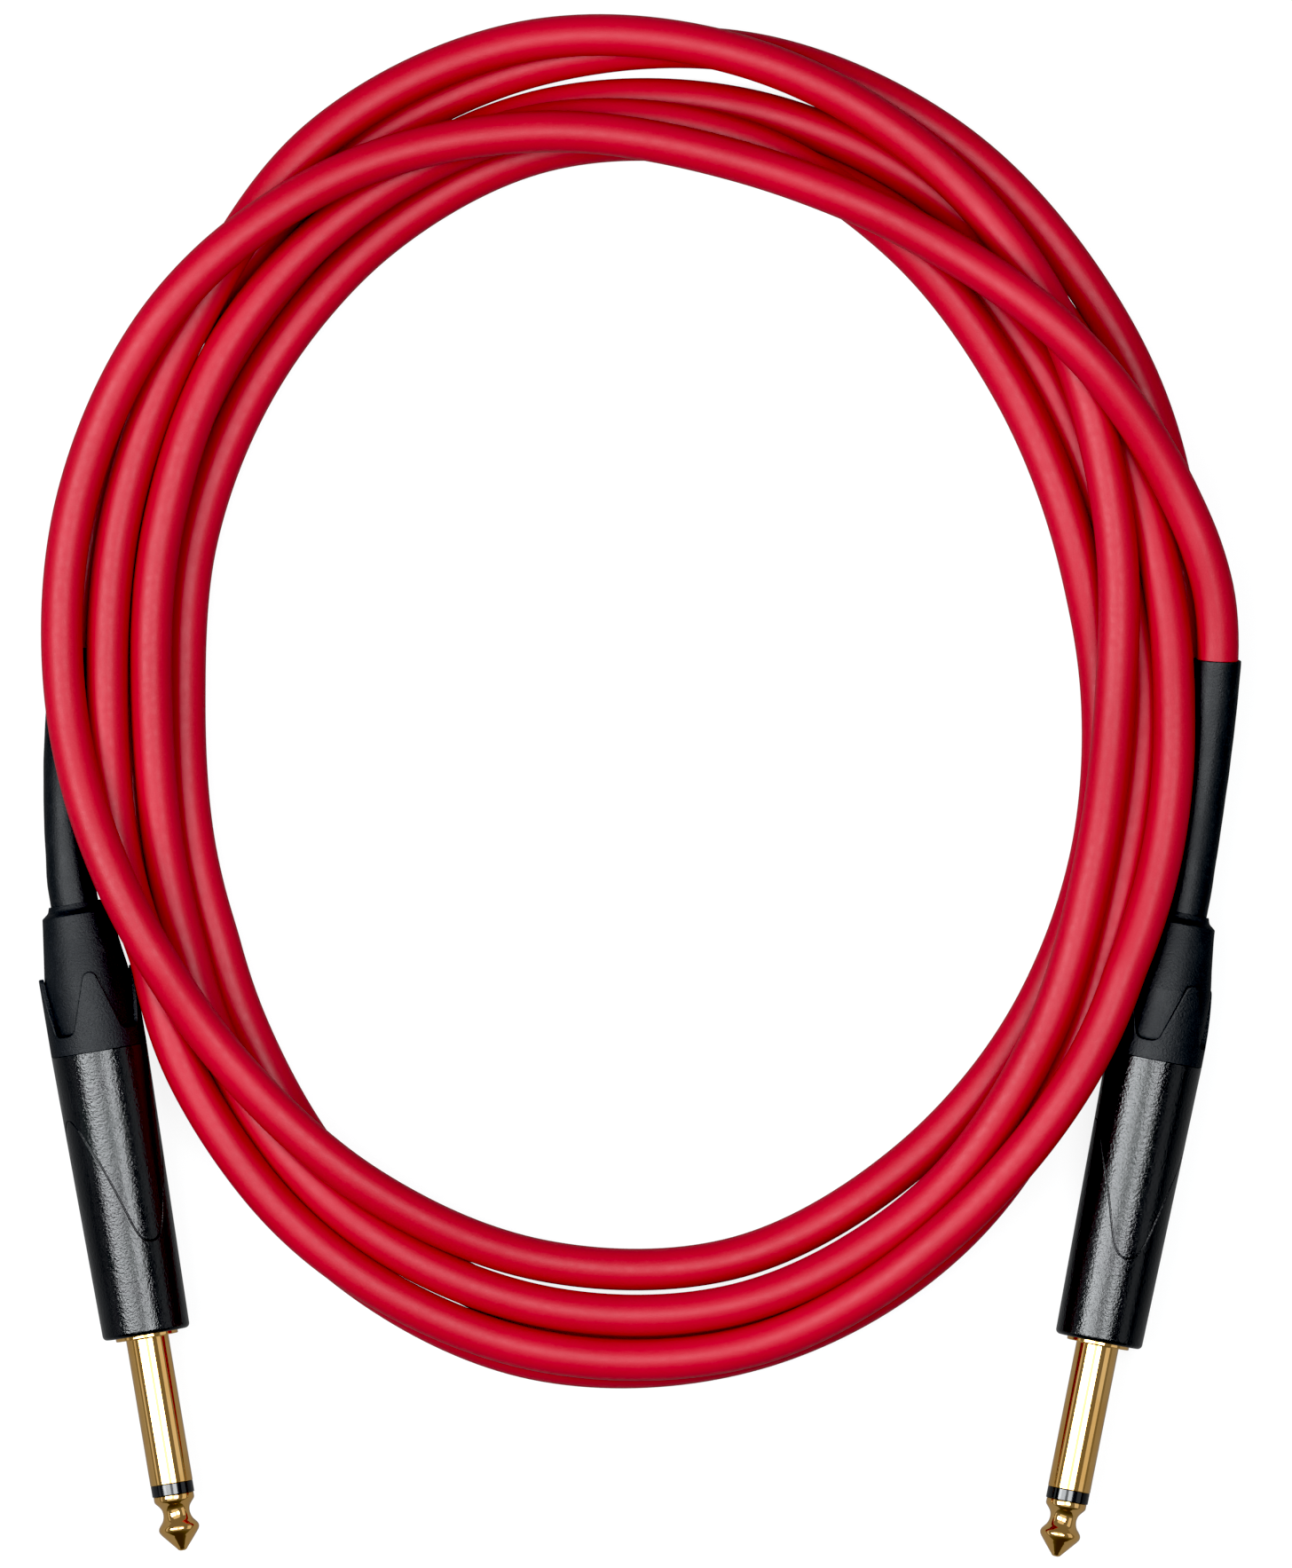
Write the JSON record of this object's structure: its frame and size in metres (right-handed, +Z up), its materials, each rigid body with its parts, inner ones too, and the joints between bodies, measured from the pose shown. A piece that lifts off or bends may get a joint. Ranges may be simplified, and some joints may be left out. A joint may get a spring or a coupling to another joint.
{
  "type": "instrument cable",
  "caption": "Screened audio lead wound in a loose oval coil, with a straight 6.35 mm two-pole plug, tapered metal shell and rubber boot on each end.",
  "frame": {"origin": "on the table, midway between the two plugs", "axes": "+Z up from the table, +X from the left plug to the right one, +Y from the plugs' tips towards the coil"},
  "size_m": [0.1782, 0.2287, 0.0186],
  "materials": {
    "gold": "polished gold plate",
    "black_plastic": "smooth black plastic",
    "tinned_metal": "tinned brass, satin",
    "solder": "bright solder",
    "copper": "bare copper strands",
    "core_insulation": "soft white polyethylene",
    "red_jacket": "smooth satin red cable jacket",
    "white_plastic": "off-white nylon",
    "shell_lacquer": "gloss black lacquer with fine orange peel on metal",
    "hard_black_plastic": "matt black moulded plastic",
    "boot_rubber": "matt black rubber",
    "shrink_sleeve": "matt black shrunk sleeve"
  },
  "bodies": {
    "cable": {"left_tip_contact": "gold", "left_tip_insulator": "black_plastic", "left_sleeve_contact": "gold", "left_rear_insulator": "black_plastic", "left_tip_terminal": "tinned_metal", "left_ground_terminal": "tinned_metal", "left_solder_joints": "solder", "left_centre_conductor": "copper", "left_inner_insulation": "core_insulation", "left_shield_pigtail": "copper", "left_jacket_end": "red_jacket", "left_heat_shrink": "shrink_sleeve", "right_tip_contact": "gold", "right_tip_insulator": "black_plastic", "right_sleeve_contact": "gold", "right_rear_insulator": "black_plastic", "right_tip_terminal": "tinned_metal", "right_ground_terminal": "tinned_metal", "right_solder_joints": "solder", "right_centre_conductor": "copper", "right_inner_insulation": "core_insulation", "right_shield_pigtail": "copper", "right_jacket_end": "red_jacket", "right_heat_shrink": "shrink_sleeve", "left_lead": "red_jacket", "right_lead": "red_jacket", "cable_coil": "red_jacket"},
    "left_collet": {"left_collet": "white_plastic"},
    "left_bushing": {"left_bushing_nut": "hard_black_plastic", "left_bushing_boot": "boot_rubber"},
    "left_shell": {"left_shell": "shell_lacquer"},
    "right_collet": {"right_collet": "white_plastic"},
    "right_bushing": {"right_bushing_nut": "hard_black_plastic", "right_bushing_boot": "boot_rubber"},
    "right_shell": {"right_shell": "shell_lacquer"}
  },
  "joints": [
    {"name": "left_bushing_turn", "type": "hinge", "parent": "left_collet", "child": "left_bushing", "pos_m": [-0.0791, 0.0308, 0.00715], "axis": [-0.165, 0.9863, 0], "range_deg": [0, 1440]},
    {"name": "left_bushing_back", "type": "slide", "parent": "cable", "child": "left_collet", "axis": [-0.165, 0.9863, 0], "range_m": [0, 0.0041]},
    {"name": "left_shell_pull", "type": "slide", "parent": "cable", "child": "left_shell", "axis": [0.165, -0.9863, 0], "range_m": [0, 0.08]},
    {"name": "right_bushing_turn", "type": "hinge", "parent": "right_collet", "child": "right_bushing", "pos_m": [0.07904, 0.02948, 0.00715], "axis": [0.1942, 0.981, 0], "range_deg": [0, 1440]},
    {"name": "right_bushing_back", "type": "slide", "parent": "cable", "child": "right_collet", "axis": [0.1942, 0.981, 0], "range_m": [0, 0.0041]},
    {"name": "right_shell_pull", "type": "slide", "parent": "cable", "child": "right_shell", "axis": [-0.1942, -0.981, 0], "range_m": [0, 0.08]}
  ],
  "couplings": [
    {"joint": "left_bushing_back", "follows": "left_bushing_turn", "m_per_rad": 0.00015915},
    {"joint": "right_bushing_back", "follows": "right_bushing_turn", "m_per_rad": 0.00015915}
  ]
}
